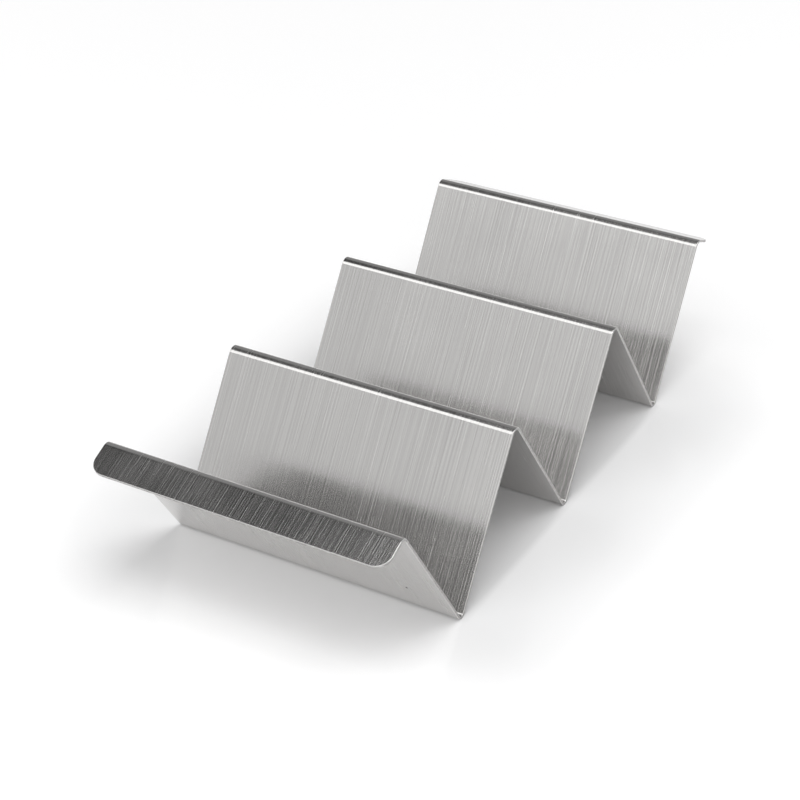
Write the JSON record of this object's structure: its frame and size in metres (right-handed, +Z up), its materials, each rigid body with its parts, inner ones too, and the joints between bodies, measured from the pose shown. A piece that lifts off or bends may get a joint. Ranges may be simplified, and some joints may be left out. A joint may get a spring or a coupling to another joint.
{
  "type": "taco holder",
  "caption": "Folded steel sheet with V-shaped valleys that hold filled taco shells upright, and a sloping lip at each end.",
  "frame": {"origin": "on the table, under the middle of the holder", "axes": "+X along the bends, +Y along the row of valleys towards the back, +Z up"},
  "size_m": [0.1016, 0.2188, 0.049],
  "materials": {
    "steel": "brushed stainless steel, with its grain across the bends"
  },
  "bodies": {
    "root": {"folded_sheet": "steel"}
  },
  "joints": []
}
